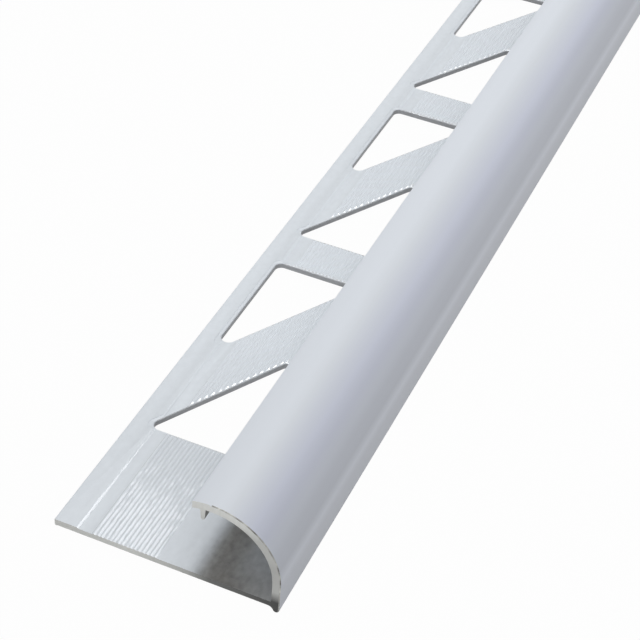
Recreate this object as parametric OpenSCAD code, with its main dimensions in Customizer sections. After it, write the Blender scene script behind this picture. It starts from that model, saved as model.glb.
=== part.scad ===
// Tile edge trim: one extruded length with a quarter-round nose over a hollow,
// a thin ribbed leg that lies in the adhesive bed under the tile, and alternating
// three-sided openings punched through the leg so that the adhesive keys into it.
//
// Frame: X across the trim, Y along its length, Z up. The origin is the middle of
// the piece in X and Y, at the height of the toe's lowest line. All sizes are in mm.

/* [Stock] */
// Length of the piece.
length = 1000; // [200:5:3000]
// Height of the nose's top above the leg's underside.
trim_h = 12.5; // [11.5:0.5:15]
// Width from the leg's free edge to the nose's outer face.
trim_w = 28.8; // [28:0.2:36]

/* [Nose] */
// Radius of the nose's outer face.
nose_r = 8.8; // [7.5:0.1:9.5]
// Thickness of the nose wall.
wall = 1; // [0.8:0.1:1.2]
// How far the lip reaches past the crown of the nose.
lip_reach = 2.3; // [2:0.1:3]
// Radius on the upper corner of the lip's tip.
lip_r = 0.1; // [0.05:0.05:0.3]
// Distance from the lip's tip to the nib under it.
nib_inset = 1; // [0.6:0.05:1.2]
// Thickness of the nib where it meets the lip.
nib_root = 0.65; // [0.5:0.05:0.8]
// Thickness of the nib's rounded end.
nib_end = 0.5; // [0.3:0.05:0.5]
// How far the nib hangs below the lip.
nib_drop = 1.6; // [1.2:0.1:2.2]

/* [Toe] */
// How far the toe drops below the leg's underside.
toe_drop = 0.7; // [0.6:0.05:0.9]
// Radius of the toe's lowest edge.
toe_r = 0.4; // [0.3:0.05:0.5]
// Radius of the hollow between the toe and the leg's underside.
toe_hollow_r = 0.7; // [0.5:0.05:1]

/* [Leg] */
// Thickness of the leg.
leg_t = 0.8; // [0.7:0.05:1.2]
// Width of the thicker border along the leg's free edge.
border_w = 3; // [2.5:0.1:4]
// How much thicker the border is than the leg.
border_rise = 0.15; // [0.1:0.05:0.3]
// Width of the slope from the border down to the leg.
border_slope = 0.3; // [0.2:0.05:0.5]
// Radius on both corners of the leg's free edge.
edge_r = 0.25; // [0.15:0.05:0.35]
// Radius of the leg's two free corners, seen from above.
corner_r = 0.2; // [0.2:0.1:2]

/* [Ribs] */
// Number of keying ribs along the leg's upper face.
rib_count = 16; // [4:1:17]
// Spacing of the ribs, which stand foot to foot.
rib_pitch = 0.53; // [0.45:0.01:0.55]
// Distance from the leg's free edge to the foot of the first rib.
rib_inset = 4.95; // [4.6:0.05:5.6]
// Height of a rib.
rib_h = 0.1; // [0.06:0.02:0.2]

/* [Openings] */
// Distance along the trim from one pair of openings to the next.
pair_pitch = 45; // [42:0.5:60]
// Distance from the near end to the first opening.
first_opening = 19; // [8:0.5:30]
// Shortest plain length left at the far end.
last_margin = 8; // [5:0.5:30]
// Distance from the leg's free edge to the openings.
opening_inset = 2.7; // [2.4:0.1:4]
// Size of an opening across the trim.
opening_w = 11.5; // [9:0.1:11.8]
// Size of an opening along the trim.
opening_l = 18.9; // [14:0.1:19.4]
// Radius of an opening's corners.
opening_r = 1; // [0.5:0.1:1.5]
// Width of the straight web between one pair and the next.
web_w = 7.1; // [6:0.1:8]

/* [Hidden] */
$fn = 96;

// The middle of the nose's circle.
nose_x = trim_w - nose_r;
nose_z = trim_h - nose_r;
lip_under_z = trim_h - wall;
lip_tip_x = nose_x - lip_reach;
border_t = leg_t + border_rise;

// The toe's lowest edge is a circle, and the hollow's circle touches it and the leg's underside.
toe_x = trim_w - toe_r;
toe_z = toe_r - toe_drop;
hollow_z = -toe_hollow_r;
hollow_x = toe_x - sqrt(pow(toe_r + toe_hollow_r, 2) - pow(toe_z - hollow_z, 2));
toe_share = toe_hollow_r / (toe_r + toe_hollow_r);
meet_x = hollow_x + (toe_x - hollow_x) * toe_share;
meet_z = hollow_z + (toe_z - hollow_z) * toe_share;

// The lip's tip corner: a circle inside the nose's circle that touches the tip.
lip_corner_x = lip_tip_x + lip_r;
lip_corner_z = nose_z + sqrt(pow(nose_r - lip_r, 2) - pow(nose_x - lip_corner_x, 2));
lip_touch = nose_r / (nose_r - lip_r);
lip_touch_x = nose_x + (lip_corner_x - nose_x) * lip_touch;

// The second opening of a pair is the first one turned half round in this length.
pair_l = pair_pitch - web_w;
first_room = length - first_opening - opening_l - last_margin;
turned_room = length - first_opening - pair_l - last_margin;
first_count = floor(first_room / pair_pitch) + 1;
turned_count = floor(turned_room / pair_pitch) + 1;

// How far a cut runs past the faces it opens.
cut_past = 1;

// An opening's straight edges lie this much inside the tangent of its corner circles, so that they cross them.
tangent_inset = 0.002;

// A corner's middle moved out to the opening's straight edge that runs beside the line from p to q.
function beside(corner, p, q) =
    corner + (opening_r - tangent_inset) * [q[1] - p[1], p[0] - q[0]] / norm(q - p);

// Quarter ring of the nose and the straight wall below it.
module nose_profile() {
    intersection() {
        translate([nose_x, nose_z])
            difference() {
                circle(r = nose_r);
                circle(r = nose_r - wall);
            }
        translate([nose_x, nose_z])
            square([nose_r, nose_r]);
    }
    translate([trim_w - wall, 0])
        square([wall, nose_z]);
}

// Lip that carries the nose's ring past the crown and down to a rounded tip.
module lip_profile() {
    difference() {
        intersection() {
            translate([nose_x, nose_z])
                circle(r = nose_r);
            union() {
                translate([lip_touch_x, nose_z])
                    square([nose_x - lip_touch_x, nose_r]);
                translate([lip_tip_x, nose_z])
                    square([lip_touch_x - lip_tip_x, lip_corner_z - nose_z]);
                translate([lip_corner_x, lip_corner_z])
                    circle(r = lip_r);
            }
        }
        translate([nose_x, nose_z])
            circle(r = nose_r - wall);
    }
    // The lip runs on into the nose, so that the two join.
    translate([nose_x - wall / 4, lip_under_z + wall / 4])
        square(wall / 2);
}

// Tapered nib with a round end, which guides the corner pieces pushed into the hollow.
module nib_profile() {
    left = lip_tip_x + nib_inset;
    middle = left + nib_root / 2;
    end_z = lip_under_z - nib_drop + nib_end / 2;
    polygon([
        [middle - nib_end / 2, end_z],
        [middle + nib_end / 2, end_z],
        [left + nib_root, lip_under_z],
        [left + nib_root, lip_under_z + wall / 4],
        [left, lip_under_z + wall / 4],
        [left, lip_under_z]
    ]);
    translate([middle, end_z])
        circle(d = nib_end);
}

// Toe below the outer wall, drawn down from the leg by two arcs that run into each other.
module toe_profile() {
    translate([toe_x, toe_z])
        circle(r = toe_r);
    translate([toe_x, toe_z])
        square([toe_r, -toe_z]);
    difference() {
        polygon([
            [hollow_x, leg_t],
            [hollow_x, hollow_z],
            [meet_x, meet_z],
            [toe_x, toe_z],
            [toe_x, leg_t]
        ]);
        translate([hollow_x, hollow_z])
            circle(r = toe_hollow_r);
    }
}

// Leg with a thicker border and a rounded free edge.
module leg_profile() {
    polygon([
        [edge_r, 0],
        [trim_w, 0],
        [trim_w, leg_t],
        [border_w + border_slope, leg_t],
        [border_w, border_t],
        [edge_r, border_t]
    ]);
    translate([0, edge_r])
        square([2 * edge_r, border_t - 2 * edge_r]);
    for (z = [edge_r, border_t - edge_r])
        translate([edge_r, z])
            circle(r = edge_r);
}

// Row of keying ribs, set a little way into the leg so that the two join.
module rib_profile() {
    polygon([
        [0, -leg_t / 2],
        [rib_count * rib_pitch, -leg_t / 2],
        for (i = [rib_count:-1:1]) each [
            [i * rib_pitch, 0],
            [(i - 0.5) * rib_pitch, rib_h]
        ],
        [0, 0]
    ]);
}

// The whole section, measured from the leg's free edge and underside.
module trim_profile() {
    nose_profile();
    lip_profile();
    nib_profile();
    toe_profile();
    leg_profile();
    translate([rib_inset, leg_t])
        rib_profile();
}

// Outline of one opening: a right-angled triangle with round corners, its near edge across the trim.
module opening_outline() {
    near_left = [opening_r, opening_r];
    near_right = [opening_w - opening_r, opening_r];
    far_right = [opening_w - opening_r, opening_l - opening_r];
    polygon([
        beside(near_left, near_left, near_right),
        beside(near_right, near_left, near_right),
        beside(near_right, near_right, far_right),
        beside(far_right, near_right, far_right),
        beside(far_right, far_right, near_left),
        beside(near_left, far_right, near_left)
    ]);
    for (corner = [near_left, near_right, far_right])
        translate(corner)
            circle(r = opening_r);
}

// The punch for one opening, from below the leg to above its ribs and border.
module opening_punch() {
    translate([0, 0, -cut_past])
        linear_extrude(height = leg_t + border_rise + rib_h + 2 * cut_past)
            opening_outline();
}

// All openings, each pair starting one pitch after the last.
module openings() {
    for (i = [0:first_count - 1])
        translate([opening_inset, first_opening + i * pair_pitch, 0])
            opening_punch();
    for (i = [0:turned_count - 1])
        translate([opening_inset + opening_w, first_opening + i * pair_pitch + pair_l, 0])
            rotate([0, 0, 180])
                opening_punch();
}

// What comes off a free corner of the leg at the near end.
module corner_cut() {
    translate([0, 0, -cut_past])
        linear_extrude(height = border_t + 2 * cut_past)
            difference() {
                translate([-cut_past, -cut_past])
                    square(corner_r + cut_past);
                translate([corner_r, corner_r])
                    circle(r = corner_r);
            }
}

// The finished trim.
module edge_trim() {
    color([0.8, 0.82, 0.85])
        translate([-trim_w / 2, -length / 2, toe_drop])
            difference() {
                translate([0, length, 0])
                    rotate([90, 0, 0])
                        linear_extrude(height = length)
                            trim_profile();
                openings();
                corner_cut();
                translate([0, length, 0])
                    mirror([0, 1, 0])
                        corner_cut();
            }
}

edge_trim();
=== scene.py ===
"""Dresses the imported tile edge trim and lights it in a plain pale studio.

The trim is one aluminium extrusion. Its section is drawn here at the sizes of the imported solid, and a
Geometry Nodes tree raises the keying ribs, draws the section out to its length, punches the openings and
rounds the free corners. Sizes are in millimetres until they reach Blender, which works in metres.
"""

from __future__ import annotations

import logging
import math
from dataclasses import dataclass, field
from enum import Enum
from itertools import pairwise
from typing import Any

import bmesh
import bpy
from mathutils import Matrix, Vector

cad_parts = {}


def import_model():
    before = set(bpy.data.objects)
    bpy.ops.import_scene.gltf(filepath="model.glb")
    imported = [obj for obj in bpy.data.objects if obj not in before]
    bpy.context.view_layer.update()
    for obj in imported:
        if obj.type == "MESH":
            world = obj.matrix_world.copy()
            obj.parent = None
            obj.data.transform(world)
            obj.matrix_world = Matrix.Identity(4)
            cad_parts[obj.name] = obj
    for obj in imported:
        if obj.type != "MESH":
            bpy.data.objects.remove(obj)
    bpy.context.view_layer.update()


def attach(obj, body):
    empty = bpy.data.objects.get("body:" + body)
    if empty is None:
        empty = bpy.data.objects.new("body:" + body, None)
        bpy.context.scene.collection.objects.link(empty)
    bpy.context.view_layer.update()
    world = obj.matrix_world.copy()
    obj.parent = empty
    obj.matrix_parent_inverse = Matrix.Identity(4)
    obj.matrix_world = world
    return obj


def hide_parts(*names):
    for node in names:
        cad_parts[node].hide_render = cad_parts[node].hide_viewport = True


MM = 0.001
Point = tuple[float, float]
Triple = tuple[float, float, float]
Stops = tuple[Point, ...]
Socket = bpy.types.NodeSocket
# How near points lie, in metres, to count as one: on a body as it is drawn, and after it is cut.
WELD_DRAWN = 1e-7
WELD_CUT = 1e-6
# The factor at the top of a tone's curve, unless one of its stops is higher.
TONE_TOP = 2.0
log = logging.getLogger("edge_trim")


class Skin(Enum):
    """The finishes of the trim, in the order of its material slots."""

    SATIN = 0
    LEG = 1
    RIB = 2
    SAWN = 3
    PUNCHED = 4
    # The burr finish is partly a real saw burr and partly painted shade.
    BURR_AND_SHADE = 5
    ROLLED = 6


class Blend(Enum):
    """How a finish puts its tones across and up the trim together."""

    BOTH = "MULTIPLY"
    LIGHTER = "MAXIMUM"


Skins = dict[Skin, bpy.types.Material]


def arc(centre: Point, radius: float, start: float, end: float, steps: int) -> list[Point]:
    """Draws an arc in straight steps between two angles in degrees, both ends included."""
    turns = [math.radians(start + (end - start) * i / steps) for i in range(steps + 1)]
    return [(centre[0] + radius * math.cos(a), centre[1] + radius * math.sin(a)) for a in turns]


@dataclass(frozen=True)
class Section:
    """The trim's section, measured from the leg's free edge and underside.

    The toe reaches below the underside, so the section is lifted by its drop in the frame.
    """

    width: float = 28.8
    height: float = 12.5
    nose_r: float = 8.8
    wall: float = 1.0
    lip_reach: float = 2.3
    lip_r: float = 0.1
    nib_inset: float = 1.0
    nib_root: float = 0.65
    nib_end: float = 0.5
    nib_drop: float = 1.6
    toe_drop: float = 0.7
    toe_r: float = 0.4
    toe_hollow_r: float = 0.7
    leg_t: float = 0.8
    border_w: float = 3.0
    border_rise: float = 0.15
    border_slope: float = 0.3
    edge_r: float = 0.25
    burr_start: float = 0.8
    inner_r: float = 0.2
    rib_inset: float = 4.95
    rib_pitch: float = 0.53
    rib_count: int = 16
    rib_h: float = 0.1
    rib_steps: int = 8

    @property
    def nose(self) -> Point:
        """Middle of the nose's circle."""
        return (self.width - self.nose_r, self.height - self.nose_r)

    @property
    def rib_end(self) -> float:
        """Where the last rib's foot meets the plain leg."""
        return self.rib_inset + self.rib_count * self.rib_pitch

    @property
    def ring(self) -> float:
        """Radius of the nose's inner face."""
        return self.nose_r - self.wall

    @property
    def nib_sides(self) -> Point:
        """Where the nib's two sides meet the lip."""
        left = self.nose[0] - self.lip_reach + self.nib_inset
        return (left, left + self.nib_root)

    def turn_at(self, x: float) -> float:
        """Finds the angle, in degrees, at which the nose's inner face is this far from the free edge."""
        return math.degrees(math.acos((x - self.nose[0]) / self.ring))

    def toe(self) -> list[Point]:
        """Draws the toe.

        Returns:
            The line from the leg's underside to the outer wall.
        """
        toe = (self.width - self.toe_r, self.toe_r - self.toe_drop)
        reach = self.toe_r + self.toe_hollow_r
        rise = toe[1] + self.toe_hollow_r
        hollow = (toe[0] - math.sqrt(reach**2 - rise**2), -self.toe_hollow_r)
        lean = math.degrees(math.asin(rise / reach))
        line = arc(hollow, self.toe_hollow_r, 90, lean, steps=8)
        return line + arc(toe, self.toe_r, 180 + lean, 360, steps=12)[1:]

    def over_nose(self) -> list[Point]:
        """Draws the nose's outer face, the lip's tip and the lip's underside.

        Returns:
            The line from the outer wall over the crown and back to the nib.
        """
        back = self.lip_reach - self.lip_r
        upper, lower = self.nose_r - self.lip_r, self.ring + self.lip_r
        lean = math.degrees(math.asin(back / upper))
        fall = math.degrees(math.asin(back / lower))
        corner_x = self.nose[0] - back
        line = arc(self.nose, self.nose_r, 0, 90 + lean, steps=56)
        top = (corner_x, self.nose[1] + math.sqrt(upper**2 - back**2))
        line += arc(top, self.lip_r, 90 + lean, 180, steps=6)[1:]
        low = (corner_x, self.nose[1] + math.sqrt(lower**2 - back**2))
        line += arc(low, self.lip_r, 180, 270 + fall, steps=6)
        end = self.turn_at(self.nib_sides[0])
        return line + arc(self.nose, self.ring, 90 + fall, end, steps=6)[1:]

    def nib(self) -> list[Point]:
        """Draws the nib's rounded end.

        Returns:
            The line round the end, from left to right.
        """
        end_r = self.nib_end / 2
        low = self.height - self.wall - self.nib_drop
        return arc((sum(self.nib_sides) / 2, low + end_r), end_r, 180, 360, steps=8)

    def hollow(self) -> list[Point]:
        """Draws the nose's inner face.

        Returns:
            The line from the nib down to the leg's upper face.
        """
        corner = (self.width - self.wall - self.inner_r, self.leg_t + self.inner_r)
        inner = arc(self.nose, self.ring, self.turn_at(self.nib_sides[1]), 0, steps=40)
        return inner + arc(corner, self.inner_r, 0, -90, steps=4)

    def leg_top(self) -> list[Point]:
        """Draws the leg's upper line, with the points that become ribs, and its free edge.

        Returns:
            The line from the last rib to the leg's underside.
        """
        steps = self.rib_count * self.rib_steps
        line = [(self.rib_end - i * self.rib_pitch / self.rib_steps, self.leg_t) for i in range(steps + 1)]
        top = self.leg_t + self.border_rise
        foot = self.border_w + self.border_slope
        line += [(foot, self.leg_t), (self.border_w, top)]
        line += arc((self.edge_r, top - self.edge_r), self.edge_r, 90, 180, steps=6)
        line += arc((self.edge_r, self.edge_r), self.edge_r, 180, 270, steps=6)
        return line + [(self.burr_start, 0.0)]

    def outline(self) -> list[Point]:
        """Draws the whole section as a closed outline, anticlockwise as seen from the near end."""
        return self.toe() + self.over_nose() + self.nib() + self.hollow() + self.leg_top()


@dataclass(frozen=True)
class Openings:
    """The punched openings of the leg."""

    pitch: float = 45.0
    first: float = 19.0
    straight: int = 22
    turned: int = 21
    inset: float = 2.7
    width: float = 11.5
    length: float = 18.9
    radius: float = 1.0
    corner_steps: int = 10
    web: float = 7.1
    roll: float = 0.14
    roll_turn: float = 76.0
    roll_steps: int = 5
    drawn_in: float = 0.3
    drawn_slope: float = 13.0

    def corners(self) -> tuple[Vector, Vector, Vector]:
        """Finds the corners of one opening as they would meet without their radius.

        Returns:
            The tip, the square corner and the far corner.
        """
        inner = Vector((self.radius, self.radius))
        slope = (Vector((self.width, self.length)) - 2 * inner).normalized()
        rise = slope.y / slope.x
        lift = self.radius / slope.x
        tip_x = inner.x - (inner.y + lift) / rise
        far_y = inner.y + lift + (self.width - inner.x) * rise
        return Vector((tip_x, 0, 0)), Vector((self.width, 0, 0)), Vector((self.width, far_y, 0))

    def edge(self, crest: float) -> list[Point]:
        """Draws the edge that punching leaves: a small roll, then a shallow slope that only the ribs reach.

        Args:
            crest: Height of the ribs' crests.

        Returns:
            How far the edge stands back from the wall and its height, from the wall's top upwards.
        """
        slope = math.tan(math.radians(self.drawn_slope)) * self.drawn_in
        foot = crest - slope - self.roll * math.sin(math.radians(self.roll_turn))
        line = arc((self.roll, foot), self.roll, 180, 180 - self.roll_turn, self.roll_steps)
        back = line[-1][0] + self.drawn_in
        return line + [(back, crest), (back + self.roll, crest + 2 * self.drawn_in)]

    def middle(self) -> Vector:
        """Finds the point about which the punch widens evenly.

        Returns:
            The point that lies equally far from all three sides.
        """
        a, b, c = self.corners()
        sides = ((b - c).length, (c - a).length, (a - b).length)
        return (a * sides[0] + b * sides[1] + c * sides[2]) / sum(sides)


class Graph:
    """A node tree under construction."""

    def __init__(self, tree: bpy.types.NodeTree) -> None:
        """Takes the shader or geometry tree to build in."""
        self.tree = tree

    def add(self, kind: str, inputs: dict[Any, Any] | None = None, **settings: Any) -> bpy.types.Node:
        """Adds a node, sets its options, and links or sets its inputs.

        Args:
            kind: The node's type.
            inputs: Sockets or plain values by input name or number.
            **settings: The node's own options.

        Returns:
            The node.
        """
        node = self.tree.nodes.new(kind)
        for key, value in settings.items():
            setattr(node, key, value)
        for key, value in (inputs or {}).items():
            if isinstance(value, Socket):
                self.tree.links.new(value, node.inputs[key])
            else:
                node.inputs[key].default_value = value
        return node

    def math(self, operation: str, *values: Any) -> Socket:
        """Adds a math node on sockets or numbers and gives its result."""
        return self.add("ShaderNodeMath", dict(enumerate(values)), operation=operation).outputs[0]

    def vector(self, x: Any = 0.0, y: Any = 0.0, z: Any = 0.0) -> Socket:
        """Puts a vector together from sockets or numbers."""
        return self.add("ShaderNodeCombineXYZ", {0: x, 1: y, 2: z}).outputs[0]

    def split(self, vector: Socket) -> tuple[Socket, ...]:
        """Takes a vector apart into its three parts."""
        return tuple(self.add("ShaderNodeSeparateXYZ", {0: vector}).outputs)


class Tree(Graph):
    """A Geometry Nodes tree with named inputs."""

    def __init__(self, name: str) -> None:
        """Starts an empty tree with a geometry input and output.

        Args:
            name: The tree's name.
        """
        super().__init__(bpy.data.node_groups.new(name, "GeometryNodeTree"))
        for way in ("INPUT", "OUTPUT"):
            self.tree.interface.new_socket("Geometry", in_out=way, socket_type="NodeSocketGeometry")
        self.values: dict[str, Any] = {}
        self.source = self.tree.nodes.new("NodeGroupInput")
        self.sink = self.tree.nodes.new("NodeGroupOutput")

    def input(self, name: str, kind: str, value: Any) -> Socket:
        """Adds a named input and keeps the value that the modifier sets.

        Args:
            name: The input's name.
            kind: Float, Int, Vector or Material.
            value: What the modifier sets it to.

        Returns:
            The socket inside the tree.
        """
        made = self.tree.interface.new_socket(name, in_out="INPUT", socket_type=f"NodeSocket{kind}")
        self.values[made.identifier] = value
        return next(s for s in self.source.outputs if s.identifier == made.identifier)

    def step(self, kind: str, geometry: Socket, inputs: dict[Any, Any], **settings: Any) -> Socket:
        """Adds a node, named without its prefix, that changes a geometry, and gives the changed geometry."""
        return self.add(f"GeometryNode{kind}", {0: geometry, **inputs}, **settings).outputs[0]

    def every(self, *tests: Socket) -> Socket:
        """Joins tests.

        Args:
            *tests: The outcomes of tests.

        Returns:
            Whether every one holds.
        """
        held = tests[0]
        for test in tests[1:]:
            held = self.add("FunctionNodeBooleanMath", {0: held, 1: test}, operation="AND").outputs[0]
        return held

    def below(self, value: Any, limit: Any) -> Socket:
        """Tests whether a socket or number is less than another."""
        test = {"data_type": "FLOAT", "operation": "LESS_THAN"}
        return self.add("FunctionNodeCompare", {0: value, 1: limit}, **test).outputs[0]

    def join(self, *parts: Socket) -> Socket:
        """Joins geometries.

        Args:
            *parts: The geometries.

        Returns:
            All of them as one.
        """
        node = self.add("GeometryNodeJoinGeometry")
        for part in parts:
            self.tree.links.new(part, node.inputs[0])
        return node.outputs[0]

    def solid(self, face: Socket, drawn: Socket) -> Socket:
        """Closes what was drawn out from a face, with the face itself as its floor."""
        floor = self.step("FlipFaces", face, {})
        return self.step("MergeByDistance", self.join(drawn, floor), {"Distance": WELD_DRAWN})

    def turned(self, angle: float) -> Socket:
        """Makes a turn about the upright axis, by an angle in radians."""
        return self.add("FunctionNodeEulerToRotation", {0: (0.0, 0.0, angle)}).outputs[0]

    def bake(self, owner: bpy.types.Object, result: Socket) -> None:
        """Runs the tree on an object and leaves its result as a plain mesh.

        Args:
            owner: The object whose mesh goes in.
            result: The geometry that comes out.
        """
        self.tree.links.new(result, self.sink.inputs[0])
        modifier = owner.modifiers.new(self.tree.name, "NODES")
        modifier.node_group = self.tree
        for identifier, value in self.values.items():
            modifier[identifier] = value
        graph = bpy.context.evaluated_depsgraph_get()
        mesh = bpy.data.meshes.new_from_object(owner.evaluated_get(graph), depsgraph=graph)
        owner.modifiers.remove(modifier)
        old, owner.data = owner.data, mesh
        bpy.data.meshes.remove(old)
        mesh.name = owner.name


@dataclass(frozen=True)
class Spot:
    """A place on the trim, in metres from the leg's free edge, from the floor and from the nearer end."""

    across: Socket
    up: Socket
    inward: Socket


@dataclass(frozen=True)
class Paint:
    """What one finish of the aluminium is made of.

    A tone is a row of stops, each a distance in mm and a factor: across from the leg's free edge, up from the
    floor, or along from the nearer end. The colour's tones across, up and along are painted light and shade.
    The wave is the start and pitch of the ribs, and waved is the tone of the grooves between them, painted
    shade at the ribs' feet and painted light on their crests. The painted shade is a second colour that takes
    the colour's place as far as its own tones say. Grain and spots count the waves in a metre along each
    axis, and relief is a height in mm.
    """

    name: str
    colour: Triple
    metallic: float = 0.1
    roughness: float = 0.45
    rough_swing: float = 0.3
    grain: Triple = (900.0, 6.0, 900.0)
    detail: float = 6.0
    shade: float = 0.05
    bump: float = 0.02
    relief: float = 0.1
    spots: Triple = (700.0, 420.0, 700.0)
    spot_detail: float = 3.0
    contrast: float = 1.0
    mottle: float = 0.0
    across: Stops = ()
    up: Stops = ()
    blend: Blend = Blend.BOTH
    along: Stops = ()
    dulled: Stops = ()
    wave: Point = (0.0, 1.0)
    waved: Stops = ()
    # The painted shade: a second colour, its share across, up and inward, how far the inward tone reaches
    # across, and its mottle.
    painted_shade: Triple = (0.0, 0.0, 0.0)
    shaded_across: Stops = ()
    shaded_up: Stops = ()
    shaded_in: Stops = ()
    shade_fades: Stops = ()
    shade_mottle: float = 0.0

    def noise(self, graph: Graph, place: Socket, scale: Triple, detail: float) -> Socket:
        """Adds a noise from 0 to 1, whose scale is how many waves fit in a metre along each axis."""
        drawn = graph.add("ShaderNodeMapping", {"Vector": place, "Scale": scale}).outputs[0]
        return graph.add("ShaderNodeTexNoise", {"Vector": drawn, "Scale": 1.0, "Detail": detail}).outputs[0]

    def tone(self, graph: Graph, value: Socket, stops: Stops) -> Socket:
        """Adds a factor that changes along one axis.

        Args:
            graph: The material's nodes.
            value: The place along the axis, in metres.
            stops: Pairs of a distance in mm and a factor, in order.

        Returns:
            The factor.
        """
        first, last = stops[0][0], stops[-1][0]
        limits = {"From Min": first * MM, "From Max": last * MM}
        share = graph.add("ShaderNodeMapRange", {"Value": value, **limits}).outputs[0]
        curve = graph.add("ShaderNodeFloatCurve", {"Value": share})
        points = curve.mapping.curves[0].points
        while len(points) < len(stops):
            points.new(0.5, 0.5)
        top = max(TONE_TOP, *(factor for _, factor in stops))
        for point, (distance, factor) in zip(points, stops, strict=True):
            point.location = ((distance - first) / (last - first), factor / top)
            point.handle_type = "VECTOR"
        curve.mapping.update()
        return graph.math("MULTIPLY", curve.outputs[0], top)

    def grooves(self, graph: Graph, spot: Spot) -> Socket:
        """Adds the tone of the grooves between the ribs: painted shade at their feet and painted light on
        their crests.

        Args:
            graph: The material's nodes.
            spot: The place on the trim.

        Returns:
            The factor, which is lowest along the ribs' feet and highest on their crests.
        """
        start, pitch = self.wave
        turn = math.tau / (pitch * MM)
        phase = graph.math("MULTIPLY_ADD", spot.across, turn, -start * MM * turn)
        depth = graph.math("SUBTRACT", self.tone(graph, spot.inward, self.waved), 1.0)
        return graph.math("MULTIPLY_ADD", graph.math("COSINE", phase), depth, 1.0)

    def painted_shade_share(self, graph: Graph, spot: Spot) -> Socket:
        """Finds how far the painted shade takes the colour's place.

        Args:
            graph: The material's nodes.
            spot: The place on the trim.

        Returns:
            The painted shade's share, which is 1 where it is full.
        """
        share = self.tone(graph, spot.across, self.shaded_across)
        if self.shaded_up:
            share = graph.math("MULTIPLY", share, self.tone(graph, spot.up, self.shaded_up))
        if self.shaded_in:
            depth = graph.math("SUBTRACT", self.tone(graph, spot.inward, self.shaded_in), 1.0)
            fade = self.tone(graph, spot.across, self.shade_fades)
            share = graph.math("MULTIPLY", share, graph.math("MULTIPLY_ADD", depth, fade, 1.0))
        return share

    def tones(self, graph: Graph, spot: Spot) -> list[Socket]:
        """Adds the tones that lighten or darken the colour: painted light and shade.

        Args:
            graph: The material's nodes.
            spot: The place on the trim.

        Returns:
            The factors to multiply.
        """
        rows = ((spot.across, self.across), (spot.up, self.up))
        made = [self.tone(graph, value, stops) for value, stops in rows if stops]
        if len(made) == len(rows):
            made = [graph.math(self.blend.value, *made)]
        if self.along:
            made.append(self.tone(graph, spot.inward, self.along))
        if self.waved:
            made.append(self.grooves(graph, spot))
        return made

    def tint(self, graph: Graph, spot: Spot, streaks: Socket, specks: Socket) -> Socket:
        """Mixes the colour.

        Args:
            graph: The material's nodes.
            spot: The place on the trim.
            streaks: The grain, from 0 to 1.
            specks: The mottle, about 0.

        Returns:
            The colour at each place.
        """
        colour: Any = self.colour
        mottle: Any = self.mottle
        # The painted shade's colour takes the place of the finish's own colour by its share.
        if self.shaded_across:
            share = self.painted_shade_share(graph, spot)
            change = Vector(self.painted_shade) - Vector(self.colour)
            mixed = {0: graph.vector(share, share, share), 1: change, 2: self.colour}
            colour = graph.add("ShaderNodeVectorMath", mixed, operation="MULTIPLY_ADD").outputs[0]
            mottle = graph.math("MULTIPLY_ADD", share, self.shade_mottle, self.mottle)
        factor = graph.math("MULTIPLY_ADD", streaks, self.shade, 1.0 - self.shade / 2)
        factor = graph.math("MULTIPLY_ADD", specks, mottle, factor)
        for tone in self.tones(graph, spot):
            factor = graph.math("MULTIPLY", factor, tone)
        return graph.add("ShaderNodeVectorMath", {0: colour, "Scale": factor}, operation="SCALE").outputs[0]

    def build(self, width: float, length: float) -> bpy.types.Material:
        """Makes the material.

        Args:
            width: The trim's width, about whose middle the object's own axes lie.
            length: The trim's length, about whose middle they lie too.

        Returns:
            A material with drawn-out streaks in its colour, roughness and relief.
        """
        made = bpy.data.materials.new(self.name)
        made.use_nodes = True
        graph = Graph(made.node_tree)
        place = graph.add("ShaderNodeTexCoord").outputs["Object"]
        x, y, z = graph.split(place)
        inward = graph.math("SUBTRACT", length / 2 * MM, graph.math("ABSOLUTE", y))
        spot = Spot(graph.math("ADD", x, width / 2 * MM), z, inward)
        streaks = self.noise(graph, place, self.grain, self.detail)
        specks = self.noise(graph, place, self.spots, self.spot_detail)
        reach = 0.5 / self.contrast
        spread = {0: specks, 1: 0.5 - reach, 2: 0.5 + reach, 3: -0.5, 4: 0.5}
        specks = graph.add("ShaderNodeMapRange", spread).outputs[0]
        swing = self.rough_swing * self.roughness
        rough = graph.math("MULTIPLY_ADD", streaks, swing, self.roughness - swing / 2)
        raised: dict[str, Any] = {"Strength": self.bump, "Distance": self.relief * MM, "Height": streaks}
        if self.dulled:
            dull = self.tone(graph, inward, self.dulled)
            rough = graph.math("MULTIPLY", rough, dull)
            raised["Strength"] = graph.math("DIVIDE", self.bump, dull)
        relief = graph.add("ShaderNodeBump", raised).outputs[0]
        tint = self.tint(graph, spot, streaks, specks)
        shader = made.node_tree.nodes["Principled BSDF"]
        shader.inputs["Metallic"].default_value = self.metallic
        for name, socket in (("Base Color", tint), ("Roughness", rough), ("Normal", relief)):
            made.node_tree.links.new(socket, shader.inputs[name])
        return made


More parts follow.
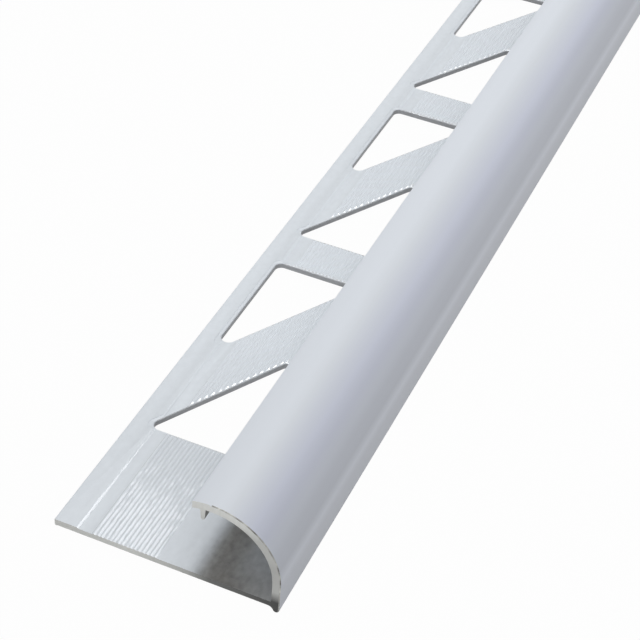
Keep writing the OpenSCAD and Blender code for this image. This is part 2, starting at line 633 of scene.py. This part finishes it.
@dataclass(frozen=True)
class Finishes:
    """Every finish of the trim, with painted light and shade in the tones of their colours."""

    satin: Paint = Paint(
        "satin_anodised",
        (0.825, 0.868, 0.928),
        # Darker towards the outer wall: painted shade.
        across=(
            (17.7, 1.06), (18.8, 1.056), (20.8, 1.013), (22.3, 0.931), (23.7, 0.917),
            (25.0, 0.918), (26.2, 0.852), (27.2, 0.848), (28.0, 0.8), (28.8, 0.8),
        ),
        # Darkest at the toe's foot: painted shade; lighter a few mm above it: painted light.
        up=(
            (0.0, 0.42), (0.25, 0.66), (0.5, 1.06), (3.6, 1.13), (5.2, 1.27),
            (6.7, 1.0), (8.1, 1.0), (13.2, 1.0),
        ),
        # Darker near both ends: painted shade.
        along=((0.0, 0.9), (15.0, 0.925), (50.0, 0.97), (110.0, 1.0), (500.0, 1.0)),
        # A bluer colour over the lower outer side: painted shade.
        painted_shade=(0.8, 0.838, 0.968),
        shaded_across=((22.3, 0.0), (24.4, 0.7), (25.0, 1.0), (26.3, 1.0), (27.2, 0.5), (28.8, 0.45)),
    )
    leg: Paint = Paint(
        "mill_finish_leg",
        (0.755, 0.798, 0.842),
        roughness=0.42,
        shade=0.07,
        mottle=0.05,
        # Lighter towards the free edge: painted light.
        across=((0.0, 1.06), (1.2, 1.06), (2.2, 0.99), (3.0, 0.99), (4.5, 1.04), (13.8, 1.0), (28.8, 1.0)),
        # Lighter up the inside of the nose, past white at the top: painted light.
        up=((0.0, 1.0), (3.0, 1.0), (8.0, 1.6), (13.2, 1.6)),
        # Lighter further from the ends: painted light.
        along=((0.0, 1.0), (18.0, 1.01), (40.0, 1.055), (500.0, 1.055)),
        spots=(1500.0, 1000.0, 1500.0),
        contrast=2.0,
        # A dark colour over the floor and inner faces of the nose's hollow, strongest at its mouth: painted
        # shade; its mottle is random tone.
        painted_shade=(0.26, 0.255, 0.244),
        shaded_across=(
            (15.0, 0.0), (16.2, 0.03), (17.2, 0.03), (18.0, 0.13), (19.2, 0.88), (20.0, 1.0),
            (21.6, 1.0), (22.6, 0.88), (25.0, 0.7), (28.8, 0.58),
        ),
        shaded_up=((0.0, 0.0), (0.9, 0.0), (1.3, 1.0), (13.2, 1.0)),
        shaded_in=((0.0, 1.2), (0.7, 1.17), (2.0, 1.0), (4.0, 0.72), (6.0, 0.65), (500.0, 0.65)),
        shade_fades=((17.2, 0.0), (20.0, 0.0), (21.0, 0.25), (22.0, 0.4), (23.0, 1.0), (28.8, 1.0)),
        shade_mottle=0.45,
    )
    rib: Paint = Paint(
        "burnished_rib",
        (0.755, 0.798, 0.842),
        metallic=0.03,
        roughness=0.07,
        grain=(1500.0, 500.0, 1500.0),
        detail=1.0,
        shade=0.04,
        bump=0.3,
        # Lighter further from the ends: painted light.
        along=((0.0, 0.99), (18.0, 0.99), (40.0, 1.1), (500.0, 1.12)),
        dulled=((0.0, 1.0), (17.0, 1.0), (28.0, 3.5), (45.0, 7.0), (500.0, 7.0)),
        wave=(Section.rib_inset, Section.rib_pitch),
        # Darker at the ribs' feet and lighter on their crests: painted shade and painted light.
        waved=((0.0, 0.9), (18.0, 0.9), (35.0, 0.98), (500.0, 0.98)),
    )
    sawn: Paint = Paint(
        "saw_cut_end",
        (0.78, 0.79, 0.765),
        roughness=0.5,
        grain=(2500.0, 2500.0, 60.0),
        shade=0.16,
        mottle=0.1,
        bump=0.3,
        # The lighter of these two tones: painted light and shade, darkest low down towards the nose's foot
        # and lightest at the crown.
        across=(
            (0.0, 0.89), (5.0, 0.92), (10.0, 1.02), (15.0, 0.82), (17.0, 0.7),
            (20.0, 0.21), (25.0, 0.14), (28.8, 0.05),
        ),
        up=(
            (0.0, 0.0), (1.5, 0.0), (3.2, 0.75), (4.5, 0.75), (6.5, 0.7), (8.5, 0.79),
            (10.3, 0.8), (11.6, 1.04), (12.5, 1.12), (13.2, 1.13),
        ),
        blend=Blend.LIGHTER,
    )
    punched: Paint = Paint(
        "punched_wall",
        (0.42, 0.43, 0.45),
        grain=(1200.0, 1200.0, 30.0),
        shade=0.2,
        bump=0.2,
    )
    # A dark, broken line on the sawn edges: partly a real saw burr, partly painted shade along the lower
    # edges. Its tone up the trim is painted light, lighter part way up the side and at the crown.
    burr_and_shade: Paint = Paint(
        "sawn_edge_burr_and_shade",
        (0.36, 0.36, 0.34),
        grain=(1500.0, 200.0, 1500.0),
        shade=0.4,
        mottle=1.5,
        contrast=4.0,
        bump=0.2,
        up=((0.0, 1.0), (3.5, 1.4), (6.0, 1.4), (8.5, 1.0), (12.8, 1.0), (13.1, 1.6), (13.2, 2.2)),
    )
    rolled: Paint = Paint("burnished_edge", (0.8, 0.83, 0.86), metallic=0.3, roughness=0.16, bump=0.0)

    def build(self, width: float, length: float) -> Skins:
        """Makes all the materials, by finish and in the order of the slots."""
        paints = (self.satin, self.leg, self.rib, self.sawn, self.punched, self.burr_and_shade, self.rolled)
        return {skin: paint.build(width, length) for skin, paint in zip(Skin, paints, strict=True)}


@dataclass
class EdgeTrim:
    """The whole extrusion, dressed."""

    length: float = 1000.0
    corner_r: float = 0.2
    corner_sides: int = 48
    burr_w: float = 0.11
    burr_lean: float = 0.1
    rib_round: float = 0.15
    rib_slack: float = 0.001
    punch_room: float = 1.0
    crisp: float = 30.0
    section: Section = field(default_factory=Section)
    openings: Openings = field(default_factory=Openings)
    finishes: Finishes = field(default_factory=Finishes)

    def place(self, x: float, z: float) -> Triple:
        """Sets a point of the near end's section, in mm from free edge and underside, in the frame."""
        return ((x - self.section.width / 2) * MM, -self.length / 2 * MM, (z + self.section.toe_drop) * MM)

    def draw_section(self, skins: Skins) -> bpy.types.Object:
        """Draws the near end's section.

        Args:
            skins: The materials by finish.

        Returns:
            An object that holds the section as one face, and a slot for each finish.
        """
        points = [self.place(x, z) for x, z in self.section.outline()]
        mesh = bpy.data.meshes.new("edge_trim_skin")
        mesh.from_pydata(points, [], [list(range(len(points)))])
        for skin in Skin:
            mesh.materials.append(skins[skin])
        made = bpy.data.objects.new("edge_trim_skin", mesh)
        bpy.context.scene.collection.objects.link(made)
        return made

    def raise_ribs(self, tree: Tree, face: Socket) -> Socket:
        """Lifts the points of the leg's upper line into ribs.

        Args:
            tree: The tree under construction.
            face: The section's face.

        Returns:
            The face with its ribs.
        """
        s = self.section
        start = tree.input("Rib start", "Float", self.place(s.rib_inset, 0)[0])
        pitch = tree.input("Rib pitch", "Float", s.rib_pitch * MM)
        count = tree.input("Rib count", "Int", s.rib_count)
        height = tree.input("Rib height", "Float", s.rib_h * MM)
        soft = tree.input("Rib rounding", "Float", self.rib_round)
        top = tree.input("Leg top", "Float", self.place(0, s.leg_t)[2])
        x, _, z = tree.split(tree.add("GeometryNodeInputPosition").outputs[0])
        turns = tree.math("DIVIDE", tree.math("SUBTRACT", x, start), pitch)
        wave = tree.math("MULTIPLY", tree.math("PINGPONG", turns, 0.5), 2.0)
        smooth = tree.add("ShaderNodeMapRange", {"Value": wave}, interpolation_type="SMOOTHSTEP").outputs[0]
        crest = tree.math("MULTIPLY_ADD", tree.math("SUBTRACT", smooth, wave), soft, wave)
        off = tree.math("ABSOLUTE", tree.math("SUBTRACT", z, top))
        on_line = tree.below(off, WELD_CUT)
        chosen = tree.every(on_line, tree.below(-self.rib_slack, turns), tree.below(turns, count))
        lift = tree.vector(z=tree.math("MULTIPLY", crest, height))
        return tree.step("SetPosition", face, {"Selection": chosen, "Offset": lift})

    def draw_out(self, tree: Tree, face: Socket) -> Socket:
        """Draws the section's face out to the trim's length and closes it."""
        along = tree.vector(y=tree.input("Length", "Float", self.length * MM))
        return tree.solid(face, tree.step("ExtrudeMesh", face, {"Offset": along, "Individual": False}))

    def make_punch(self, tree: Tree, skins: Skins) -> Socket:
        """Makes one punch, which widens towards the ribs' crests and so leaves a drawn-in edge.

        Args:
            tree: The tree under construction.
            skins: The materials by finish.

        Returns:
            The punch, about the middle of its opening.
        """
        o, s = self.openings, self.section
        middle = o.middle()
        radius = tree.input("Opening corner radius", "Float", o.radius * MM)
        reach = middle.y
        edge = o.edge(s.leg_t + s.rib_h)
        start = tree.input("Punch start", "Float", self.place(0, -self.punch_room)[2])
        upright = tree.input("Upright wall", "Float", (self.punch_room + edge[0][1]) * MM)
        pick = tree.add("GeometryNodeIndexSwitch", data_type="VECTOR")
        pick.index_switch_items.new()
        tree.tree.links.new(tree.add("GeometryNodeInputIndex").outputs[0], pick.inputs[0])
        corners = o.corners()
        for i, corner in enumerate(corners):
            socket = tree.input(f"Opening corner {i + 1}", "Vector", (corner - middle) * MM)
            tree.tree.links.new(socket, pick.inputs[i + 1])
        ring = tree.add("GeometryNodeMeshCircle", {"Vertices": len(corners)}, fill_type="NONE").outputs[0]
        ring = tree.step("SetPosition", ring, {"Position": pick.outputs[0]})
        curve = tree.step("MeshToCurve", ring, {})
        rounding = {"Count": o.corner_steps, "Radius": radius, "Limit Radius": True}
        curve = tree.step("FilletCurve", curve, rounding, mode="POLY")
        face = tree.step("FillCurve", curve, {}, mode="NGONS")
        face = tree.step("Transform", face, {"Translation": tree.vector(z=start)})
        lift = {0: face, "Offset": tree.vector(z=upright), "Individual": False}
        first = tree.add("GeometryNodeExtrudeMesh", lift)
        wall = tree.input("Punched wall", "Material", skins[Skin.PUNCHED])
        rolled = tree.input("Rolled edge", "Material", skins[Skin.ROLLED])
        shell, lid = tree.step("SetMaterial", first.outputs[0], {"Material": wall}), first.outputs[1]
        for i, (low, high) in enumerate(pairwise(edge)):
            climb = tree.input(f"Edge rise {i + 1}", "Float", (high[1] - low[1]) * MM)
            grow = tree.input(f"Edge growth {i + 1}", "Float", (reach + high[0]) / (reach + low[0]))
            lift = {0: shell, "Selection": lid, "Offset": tree.vector(z=climb), "Individual": False}
            drawn = tree.add("GeometryNodeExtrudeMesh", lift)
            here = tree.add("GeometryNodeInputPosition").outputs[0]
            size = tree.vector(grow, grow, 1.0)
            there = tree.add("ShaderNodeVectorMath", {0: here, 1: size}, operation="MULTIPLY").outputs[0]
            lid = drawn.outputs[1]
            shell = tree.step("SetPosition", drawn.outputs[0], {"Selection": lid, "Position": there})
            shell = tree.step("SetMaterial", shell, {"Selection": drawn.outputs[2], "Material": rolled})
        return tree.solid(face, shell)

    def set_punches(self, tree: Tree, punch: Socket) -> Socket:
        """Sets the punch at every opening, turned half round at every second one.

        Args:
            tree: The tree under construction.
            punch: One punch about the middle of its opening.

        Returns:
            All punches.
        """
        o = self.openings
        middle = o.middle()
        pitch = tree.vector(y=tree.input("Pair pitch", "Float", o.pitch * MM))
        left = o.inset - self.section.width / 2
        near = o.first - self.length / 2
        rows = []
        for name, count, x, y, turn in (
            ("Straight", o.straight, left + middle.x, near + middle.y, 0.0),
            ("Turned", o.turned, left + o.width - middle.x, near + o.pitch - o.web - middle.y, math.pi),
        ):
            number = tree.input(f"{name} openings", "Int", count)
            start = tree.input(f"{name} start", "Vector", Vector((x, y, 0)) * MM)
            row = {"Count": number, "Start Location": start, "Offset": pitch}
            line = tree.add("GeometryNodeMeshLine", row, mode="OFFSET").outputs[0]
            placed = {"Instance": punch, "Rotation": tree.turned(turn)}
            rows.append(tree.step("InstanceOnPoints", line, placed))
        return tree.step("RealizeInstances", tree.join(*rows), {})

    def corner_cuts(self, tree: Tree) -> Socket:
        """Makes what comes off the leg's two free corners.

        Args:
            tree: The tree under construction.

        Returns:
            Both cutters.
        """
        radius = tree.input("Free corner radius", "Float", self.corner_r * MM)
        past = tree.input("Cut past the corner", "Float", self.punch_room * MM)
        side = tree.math("ADD", radius, past)
        shift = tree.math("MULTIPLY", tree.math("SUBTRACT", radius, past), 0.5)
        tall = 4 * self.punch_room * MM
        block = tree.add("GeometryNodeMeshCube", {"Size": tree.vector(side, side, tall)}).outputs[0]
        block = tree.step("Transform", block, {"Translation": tree.vector(shift, shift, self.place(0, 0)[2])})
        sizes = {"Vertices": self.corner_sides, "Radius": radius, "Depth": 3 * tall}
        post = tree.add("GeometryNodeMeshCylinder", sizes).outputs[0]
        post = tree.step("Transform", post, {"Translation": tree.vector(radius, radius, 0.0)})
        cut = tree.step("MeshBoolean", block, {"Mesh 2": post}, operation="DIFFERENCE", solver="EXACT")
        ends = []
        for way, turn in ((-1, 0.0), (1, -math.pi / 2)):
            corner = Vector((-self.section.width / 2, way * self.length / 2, 0)) * MM
            ends.append(tree.step("Transform", cut, {"Rotation": tree.turned(turn), "Translation": corner}))
        return tree.join(*ends)

    def paint_faces(self, tree: Tree, body: Socket, skins: Skins) -> Socket:
        """Gives the drawn faces their finishes before they are punched.

        Args:
            tree: The tree under construction.
            body: The closed extrusion.
            skins: The materials by finish.

        Returns:
            The extrusion with its materials.
        """
        s = self.section
        x, y, z = tree.split(tree.add("GeometryNodeInputPosition").outputs[0])
        low = tree.below(z, self.place(0, s.leg_t + s.inner_r)[2])
        inside = tree.below(x, self.place(s.width - s.wall / 2, 0)[0])
        nose = self.place(*s.nose)
        aside = tree.math("POWER", tree.math("SUBTRACT", x, nose[0]), 2.0)
        above = tree.math("POWER", tree.math("SUBTRACT", z, nose[2]), 2.0)
        away = tree.math("SQRT", tree.math("ADD", aside, above))
        hollow = tree.below(away, (s.nose_r - s.wall / 2) * MM)
        rib = tree.input("Rib", "Material", skins[Skin.RIB])
        leg = tree.input("Leg", "Material", skins[Skin.LEG])
        upper = tree.below(self.place(0, s.leg_t / 2)[2], z)
        bands = [(leg, tree.every(low, inside)), (leg, tree.every(hollow, inside))]
        for start, end in ((s.rib_inset, s.rib_end), (s.border_w, s.border_w + s.border_slope)):
            left, right = tree.below(self.place(start, 0)[0], x), tree.below(x, self.place(end, 0)[0])
            bands.append((rib, tree.every(left, right, upper, low)))
        ends = tree.below((self.length / 2 - self.burr_w) * MM, tree.math("ABSOLUTE", y))
        bands.append((tree.input("Sawn", "Material", skins[Skin.SAWN]), ends))
        satin = tree.input("Satin", "Material", skins[Skin.SATIN])
        body = tree.step("SetMaterial", body, {"Material": satin})
        for material, chosen in bands:
            body = tree.step("SetMaterial", body, {"Selection": chosen, "Material": material})
        return body

    def plain_tips(self, tree: Tree, body: Socket, skins: Skins) -> Socket:
        """Leaves the openings' edges unburnished beside the border, where no rib reaches them.

        Args:
            tree: The tree under construction.
            body: The punched trim.
            skins: The materials by finish.

        Returns:
            The trim with plain edges at the openings' tips.
        """
        x = tree.split(tree.add("GeometryNodeInputPosition").outputs[0])[0]
        tip = tree.below(x, self.place(self.section.rib_inset, 0)[0])
        edge = tree.input("Edge at the tips", "Material", skins[Skin.ROLLED])
        rolled = tree.add("GeometryNodeMaterialSelection", {0: edge}).outputs[0]
        plain = tree.input("Plain edge", "Material", skins[Skin.LEG])
        return tree.step("SetMaterial", body, {"Selection": tree.every(tip, rolled), "Material": plain})

    def dress(self, made: bpy.types.Object) -> None:
        """Takes the sharpness off the outer edges of both sawn ends, where the saw leaves its burr. The bevel
        takes the dark burr finish, partly the real burr and partly painted shade along the lower edges.

        Args:
            made: The baked trim.
        """
        s = self.section
        nose = self.place(*s.nose)
        start, middle = self.place(s.burr_start, s.leg_t / 2)[::2]
        work = bmesh.new()
        work.from_mesh(made.data)
        chosen = []
        for edge in work.edges:
            sides = [f for f in edge.link_faces if f.material_index != Skin.SAWN.value]
            if len(sides) != 1 or len(edge.link_faces) != 2:
                continue
            spot = (edge.verts[0].co + edge.verts[1].co) / 2
            over = math.hypot(spot.x - nose[0], spot.z - nose[2]) > (s.nose_r - s.wall / 2) * MM
            over = over and spot.x > nose[0] and spot.z > middle
            under = spot.x > start and spot.z < middle
            rise = sides[0].normal.z
            if over and rise > -self.burr_lean or under and rise < self.burr_lean:
                chosen.append(edge)
        bmesh.ops.bevel(
            work,
            geom=chosen,
            offset=self.burr_w * MM,
            segments=2,
            profile=0.5,
            affect="EDGES",
            clamp_overlap=False,
            material=Skin.BURR_AND_SHADE.value,
        )
        for edge in work.edges:
            if len({f.material_index == Skin.BURR_AND_SHADE.value for f in edge.link_faces}) == 2:
                edge.smooth = False
        work.to_mesh(made.data)
        work.free()

    def build(self) -> bpy.types.Object:
        """Makes the trim.

        Returns:
            The finished trim as one plain mesh.
        """
        skins = self.finishes.build(self.section.width, self.length)
        made = self.draw_section(skins)
        tree = Tree("trim_extrusion")
        face = self.raise_ribs(tree, tree.source.outputs[0])
        body = self.paint_faces(tree, self.draw_out(tree, face), skins)
        punches = self.set_punches(tree, self.make_punch(tree, skins))
        edge = tree.input("Free corner", "Material", skins[Skin.SAWN])
        corners = tree.step("SetMaterial", self.corner_cuts(tree), {"Material": edge})
        cutters = {0: body, 1: tree.join(punches, corners)}
        cut = tree.add("GeometryNodeMeshBoolean", cutters, operation="DIFFERENCE", solver="EXACT")
        whole = self.plain_tips(tree, cut.outputs[0], skins)
        whole = tree.step("SetShadeSmooth", whole, {"Shade Smooth": True}, domain="FACE")
        bend = tree.below(math.radians(self.crisp), tree.add("GeometryNodeInputMeshEdgeAngle").outputs[0])
        for chosen in (bend, cut.outputs[1]):
            sharp = {"Selection": chosen, "Shade Smooth": False}
            whole = tree.step("SetShadeSmooth", whole, sharp, domain="EDGE")
        whole = tree.step("MergeByDistance", whole, {"Distance": WELD_CUT})
        tree.bake(made, tree.step("RealizeInstances", whole, {}))
        self.dress(made)
        return made


@dataclass(frozen=True)
class Camera:
    """The camera, fitted to the photographed view, with its roll in degrees."""

    place: Triple = (0.06087, -0.62013, 0.14932)
    aim: Triple = (-0.00209, -0.450338, 0.0)
    roll: float = 4.9229
    lens: float = 97.395
    sensor: float = 36.0
    nearest: float = 0.005
    farthest: float = 200.0

    def build(self) -> bpy.types.Object:
        """Sets up the camera.

        Returns:
            The scene's camera.
        """
        data = bpy.data.cameras.new("camera")
        data.lens, data.sensor_width = self.lens, self.sensor
        data.clip_start, data.clip_end = self.nearest, self.farthest
        made = bpy.data.objects.new("camera", data)
        back = Vector(self.place) - Vector(self.aim)
        level = back.to_track_quat("Z", "Y").to_matrix().to_4x4()
        roll = Matrix.Rotation(math.radians(self.roll), 4, "Z")
        made.matrix_world = Matrix.Translation(self.place) @ level @ roll
        bpy.context.scene.collection.objects.link(made)
        bpy.context.scene.camera = made
        return made


@dataclass(frozen=True)
class Lamp:
    """A soft box that faces a point on the trim, its height along the trim as far as it can be."""

    name: str
    place: Triple
    aim: Triple
    size: tuple[float, float]
    power: float

    def build(self) -> bpy.types.Object:
        """Sets up the lamp.

        Returns:
            The lamp in its place.
        """
        data = bpy.data.lights.new(self.name, "AREA")
        data.shape = "RECTANGLE"
        data.size, data.size_y = self.size
        data.energy = self.power
        made = bpy.data.objects.new(self.name, data)
        back = (Vector(self.place) - Vector(self.aim)).normalized()
        along = Vector((0.0, 1.0, 0.0))
        along = (along - along.dot(back) * back).normalized()
        turn = Matrix((along.cross(back), along, back)).transposed().to_4x4()
        made.matrix_world = Matrix.Translation(self.place) @ turn
        bpy.context.scene.collection.objects.link(made)
        return made


@dataclass(frozen=True)
class Studio:
    """A pale floor under a plain sky, with soft boxes."""

    floor_side: float = 60.0
    floor_grey: float = 0.42
    floor_glow: float = 0.98
    sky_low: float = 0.145
    sky_high: float = 1.35
    sky_power: float = 4.0
    lamps: tuple[Lamp, ...] = (
        Lamp("key_box", place=(0.05, 0.0, 4.0), aim=(0.0, 0.0, 0.0), size=(0.5, 7.0), power=42.0),
        Lamp("front_box", place=(0.0, -3.966, 0.487), aim=(0.0, -0.5, 0.0), size=(2.0, 0.4), power=26.5),
        Lamp("back_box", place=(0.0, 2.789, 1.197), aim=(0.0, -0.5, 0.0), size=(12.0, 1.6), power=37.0),
        Lamp("rib_box", place=(0.905, 1.261, 2.254), aim=(-0.005, -0.5, 0.002), size=(0.64, 0.3), power=2.3),
    )

    def floor(self) -> bpy.types.Object:
        """Lays the floor.

        Returns:
            A floor that shows as white and keeps a faint shadow.
        """
        half = self.floor_side / 2
        mesh = bpy.data.meshes.new("floor")
        corners = [(-half, -half, 0), (half, -half, 0), (half, half, 0), (-half, half, 0)]
        mesh.from_pydata(corners, [], [list(range(len(corners)))])
        made = bpy.data.objects.new("floor", mesh)
        bpy.context.scene.collection.objects.link(made)
        skin = bpy.data.materials.new("pale_floor")
        skin.use_nodes = True
        skin.node_tree.nodes.clear()
        graph = Graph(skin.node_tree)
        path = graph.add("ShaderNodeLightPath").outputs
        seen = graph.math("MAXIMUM", path["Is Camera Ray"], path["Is Glossy Ray"])
        seen = graph.math("MAXIMUM", seen, path["Is Transmission Ray"])
        share = graph.math("MULTIPLY", seen, self.floor_glow)
        paint = graph.add("ShaderNodeBsdfDiffuse", {"Color": (self.floor_grey,) * 3 + (1.0,)}).outputs[0]
        glow = graph.add("ShaderNodeEmission").outputs[0]
        mixed = graph.add("ShaderNodeMixShader", {0: share, 1: paint, 2: glow}).outputs[0]
        graph.add("ShaderNodeOutputMaterial", {"Surface": mixed})
        mesh.materials.append(skin)
        return made

    def sky(self) -> bpy.types.World:
        """Makes the sky.

        Returns:
            A sky that is brighter overhead than at the horizon.
        """
        world = bpy.data.worlds.new("plain_sky")
        world.use_nodes = True
        graph = Graph(world.node_tree)
        up = graph.split(graph.add("ShaderNodeTexCoord").outputs["Generated"])[2]
        high = graph.math("POWER", graph.math("MAXIMUM", up, 0.0), self.sky_power)
        level = graph.math("MULTIPLY_ADD", high, self.sky_high - self.sky_low, self.sky_low)
        world.node_tree.links.new(level, world.node_tree.nodes["Background"].inputs["Strength"])
        world.node_tree.nodes["Background"].inputs["Color"].default_value = (1.0, 1.0, 1.0, 1.0)
        bpy.context.scene.world = world
        return world

    def build(self) -> None:
        """Sets up the floor, the sky and the lamps."""
        self.floor()
        self.sky()
        for lamp in self.lamps:
            lamp.build()
        bpy.context.scene.view_settings.view_transform = "Standard"


def main() -> None:
    """Loads the frame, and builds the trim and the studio."""
    logging.basicConfig(level=logging.INFO, format="%(name)s: %(message)s")
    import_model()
    skin = EdgeTrim().build()
    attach(skin, "root")
    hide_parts("edge_trim")
    log.info("%s: %d faces", skin.name, len(skin.data.polygons))
    Camera().build()
    Studio().build()


if __name__ == "__main__":
    main()
